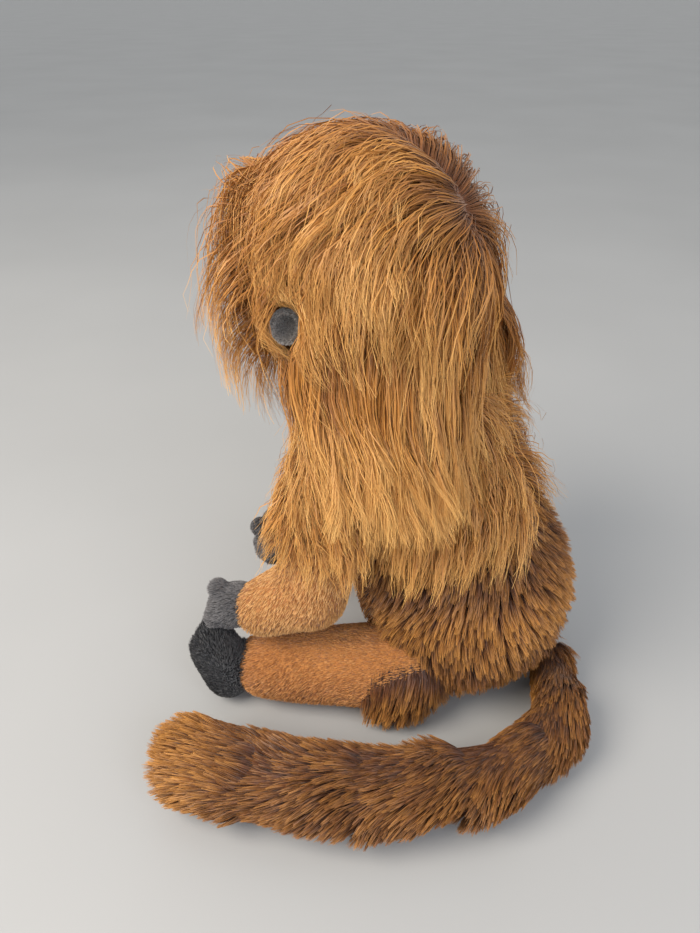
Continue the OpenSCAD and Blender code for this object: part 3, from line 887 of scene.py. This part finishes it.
for side, arm in (("left", ARM_LEFT), ("right", ARM_RIGHT)):
    fur = short_pile("arm_%s_pile" % side, arm_skins[side], 24000, None, along_aim(arm[0], arm[2]),
                     (1.8, 3.0), arm_fibre, 61, stand=0.55, width=(0.25, 0.5), solids=TORSO_ONLY)
    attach(fur, "arm_" + side)
    fur = short_pile("hand_%s_pile" % side, hand_skins[side], 9000, None, along_aim(arm[2], arm[3]),
                     (2.0, 3.2), hand_fibre, 67, stand=0.6, width=(0.35, 0.6), solids=TORSO_ONLY)
    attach(fur, "hand_" + side)
for side, leg in (("left", LEG_LEFT), ("right", LEG_RIGHT)):
    fur = short_pile("leg_%s_pile" % side, leg_skins[side], 24000, lambda p, n: p[:, 2] > 0.6,
                     along_aim(leg[0], leg[1]), (1.8, 3.0), tan_fibre, 71, stand=0.55,
                     width=(0.25, 0.5), solids=TORSO_ONLY)
    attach(fur, "leg_" + side)
    hip = leg[0]
    way = unit(leg[1] - leg[0])
    # The hip fur carries the same painted shade in rows.
    fur = short_pile("hip_fur_" + side, leg_skins[side], 26000,
                     lambda p, n: (p[:, 2] > 1.0) * smooth(20, 10, (p - hip) @ way + 3 * np.sin(p[:, 2] / 5)),
                     lambda place, roots, t: np.broadcast_to(unit(way * 0.15 + [0, 0, -0.9]), place.shape),
                     (11, 17), frost_fibre, 77, stand=0.5, steps=4, per_tuft=20, width=(0.3, 0.6),
                     gravity=0.35, solids=TORSO_ONLY, bands=painted_shade_rows, frizz=0.2)
    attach(fur, "leg_" + side)
    fur = short_pile("foot_%s_pile" % side, foot_skins[side], 11000, lambda p, n: p[:, 2] > 0.6,
                     along_aim(leg[2], leg[3]), (2.0, 3.4), foot_fibre, 73, stand=0.6, width=(0.35, 0.6),
                     solids=TORSO_ONLY)
    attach(fur, "foot_" + side)


def tail_place(points):
    """How far along the tail each point is, in lengths, and the direction the tail runs there."""
    best = np.full(len(points), 1e9)
    where = np.zeros(len(points))
    for i in range(5):
        a, b = TAIL[i], TAIL[i + 1]
        line = b - a
        t = (points - a) @ line / (line @ line)
        inside = np.clip(t, 0, 1)
        far = np.linalg.norm(points - (a + inside[:, None] * line), axis=1)
        take = far < best
        best[take] = far[take]
        where[take] = (i + inside)[take]
    lines = unit(TAIL[1:] - TAIL[:-1])
    share = np.clip(where - 0.5, 0, 3.999)
    first = share.astype(int)
    share = column(share - first)
    way = unit(lines[first] * (1 - share) + lines[first + 1] * share)
    return where, way


def tail_aim(place, roots, t):
    where, way = tail_place(roots)
    return unit(way * 0.9 + np.array([0, 0, -0.25 * t]))


def tail_tone(points):
    """Dark along the top and the inside of the curl, paler low on the outside and at the tip."""
    where, way = tail_place(points)
    i = np.clip(where.astype(int), 0, 4)
    axis = TAIL[i] + (where - i)[:, None] * (TAIL[i + 1] - TAIL[i])
    outside = unit(np.cross(way, [0, 0, 1.0])) * 0.8 + np.array([0, 0, -0.6])
    facing = dot(unit(points - axis), unit(outside))[:, 0]
    wander = Sway(98, 24.0)(points)[:, 0] * 0.2
    return 0.05 + 0.42 * smooth(0.0, 1.0, facing + wander) + 0.4 * smooth(4.55, 4.95, where)


for i in range(6):
    low, high = i - 0.5, i + 0.5
    fur = short_pile("tail_fur_%d" % i, tail_skins[i], 24000 if i else 16000,
                     lambda p, n: (tail_place(p)[0] >= low) * (tail_place(p)[0] <= high),
                     tail_aim, (12, 18), frost_fibre, 81 + i, stand=0.55, steps=4, per_tuft=20,
                     width=(0.3, 0.6), gravity=0.3, solids=[(TAIL[0], TAIL[1], 1, 1)], bands=tail_tone,
                     frizz=0.2)
    tail_piece_body(fur, i)

face_pile = short_pile("face_pile", head_skin, 30000, lambda p, n: face_angle(p) < FACE_PATCH,
                       lambda place, roots, t: unit(unit(place - (HEAD + 40 * FACE)) + [0, 0, -0.4]),
                       (1.6, 2.8), face_fibre, 91, stand=0.55, width=(0.35, 0.6))
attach(face_pile, "head")

# ---------------------------------------------------------------- ears

EAR_PROFILE = [(0.0, 0.0), (3.6, 0.3), (6, 3), (6.8, 7), (6.4, 7.8),
               (5.6, 7), (4.8, 4.6), (3, 2.2), (0.0, 1.6)]
EAR_SIDES = 32
for side, sign in (("left", 1), ("right", -1)):
    out = unit(EAR_DIR * 0.5 + EAR_FACING) * [sign, 1, 1]
    turn = Vector(out).to_track_quat("Z", "Y").to_matrix().to_4x4()
    turn.translation = Vector((HEAD + EAR_DIR * [sign, 1, 1] * (EAR_OUT - 4)) * MM)
    bm = bmesh.new()
    spin = []
    for r, z in EAR_PROFILE:
        spin.append([bm.verts.new((r * MM * math.cos(a), r * MM * math.sin(a) * 1.05, z * MM))
                     for a in np.linspace(0, 2 * math.pi, EAR_SIDES, endpoint=False)])
    for lower, upper in zip(spin, spin[1:]):
        for k in range(EAR_SIDES):
            after = (k + 1) % EAR_SIDES
            bm.faces.new((lower[k], lower[after], upper[after], upper[k]))
    bmesh.ops.remove_doubles(bm, verts=bm.verts, dist=1e-6)
    mesh = bpy.data.meshes.new("ear_%s_skin" % side)
    bm.to_mesh(mesh)
    bm.free()
    mesh.transform(turn)
    mesh.materials.append(ear_backing)
    ear = bpy.data.objects.new("ear_%s_skin" % side, mesh)
    bpy.context.scene.collection.objects.link(ear)
    even = ear.modifiers.new("smooth", "SUBSURF")
    even.levels = even.render_levels = 1
    bake_down(ear)
    ear.data.polygons.foreach_set("use_smooth", np.ones(len(ear.data.polygons), bool))
    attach(ear, "head")
    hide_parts("ear_%s_front" % side, "ear_%s_back" % side)
    fuzz = short_pile("ear_%s_pile" % side, ear, 5000, None,
                      lambda place, roots, t: np.broadcast_to(out, place.shape),
                      (1.4, 2.4), ear_fibre, 95, stand=0.6, width=(0.3, 0.5), solids=TORSO_ONLY)
    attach(fuzz, "head")

# ---------------------------------------------------------------- table, light and camera

bpy.ops.mesh.primitive_plane_add(size=200.0, location=(0, 0, -0.0002))
table = bpy.context.object
table.name = "table"
mat = new_material("white laminate table")
# Matt white laminate: almost even, with a very slight cloudiness and fine tooth.
place = add(mat, "ShaderNodeTexCoord")
cloud = add(mat, "ShaderNodeTexNoise", [("Vector", place, "Object")], Scale=3.0, Detail=3.0)
tooth = add(mat, "ShaderNodeTexNoise", [("Vector", place, "Object")], Scale=1500.0, Detail=2.0)
tone = ramp(mat, [("Fac", cloud, "Fac")], [(0.3, "#a9a9a8"), (0.7, "#afafae")])
bump = add(mat, "ShaderNodeBump", [("Height", tooth, "Fac")], Strength=0.05, Distance=0.0002)
surface(mat, [("Base Color", tone, "Color")], bump, Roughness=0.6)
table.data.materials.append(mat)
table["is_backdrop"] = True

world = bpy.data.worlds.new("studio")
world.use_nodes = True
sky = world.node_tree.nodes["Background"]
sky.inputs["Color"].default_value = colour("#eef0f2")
sky.inputs["Strength"].default_value = 0.75
bpy.context.scene.world = world


def soft_light(name, place, target, size, power, tint):
    light = bpy.data.lights.new(name, "AREA")
    light.shape = "DISK"
    light.size = size
    light.energy = power
    light.color = colour(tint)[:3]
    lamp = bpy.data.objects.new(name, light)
    lamp.location = place
    lamp.rotation_mode = "QUATERNION"
    lamp.rotation_quaternion = (Vector(target) - Vector(place)).to_track_quat("-Z", "Y")
    bpy.context.scene.collection.objects.link(lamp)
    return lamp


soft_light("key", (0.75, -0.7, 1.1), (0, 0, 0.1), 0.9, 21, "#fff7ec")
soft_light("fill", (0.9, 0.8, 0.8), (0, 0, 0.1), 1.2, 9, "#eef3ff")

EYE = Vector((306.1, 50.7, 330.0)) * MM
FORWARD = Vector((-0.781, -0.284, -0.556)).normalized()
ACROSS = Vector((math.cos(math.radians(110)), math.sin(math.radians(110)), 0))
UP = ACROSS.cross(FORWARD).normalized()
camera = bpy.data.objects.new("camera", bpy.data.cameras.new("camera"))
bpy.context.scene.collection.objects.link(camera)
camera.data.sensor_width = 36
camera.data.lens = 36 * 714 / 933
camera.data.clip_start = 0.01
camera.rotation_mode = "QUATERNION"
camera.rotation_quaternion = Matrix((ACROSS, UP, -FORWARD)).transposed().to_quaternion()
camera.location = EYE
bpy.context.scene.camera = camera
bpy.context.scene.view_settings.view_transform = "Standard"

low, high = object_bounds()
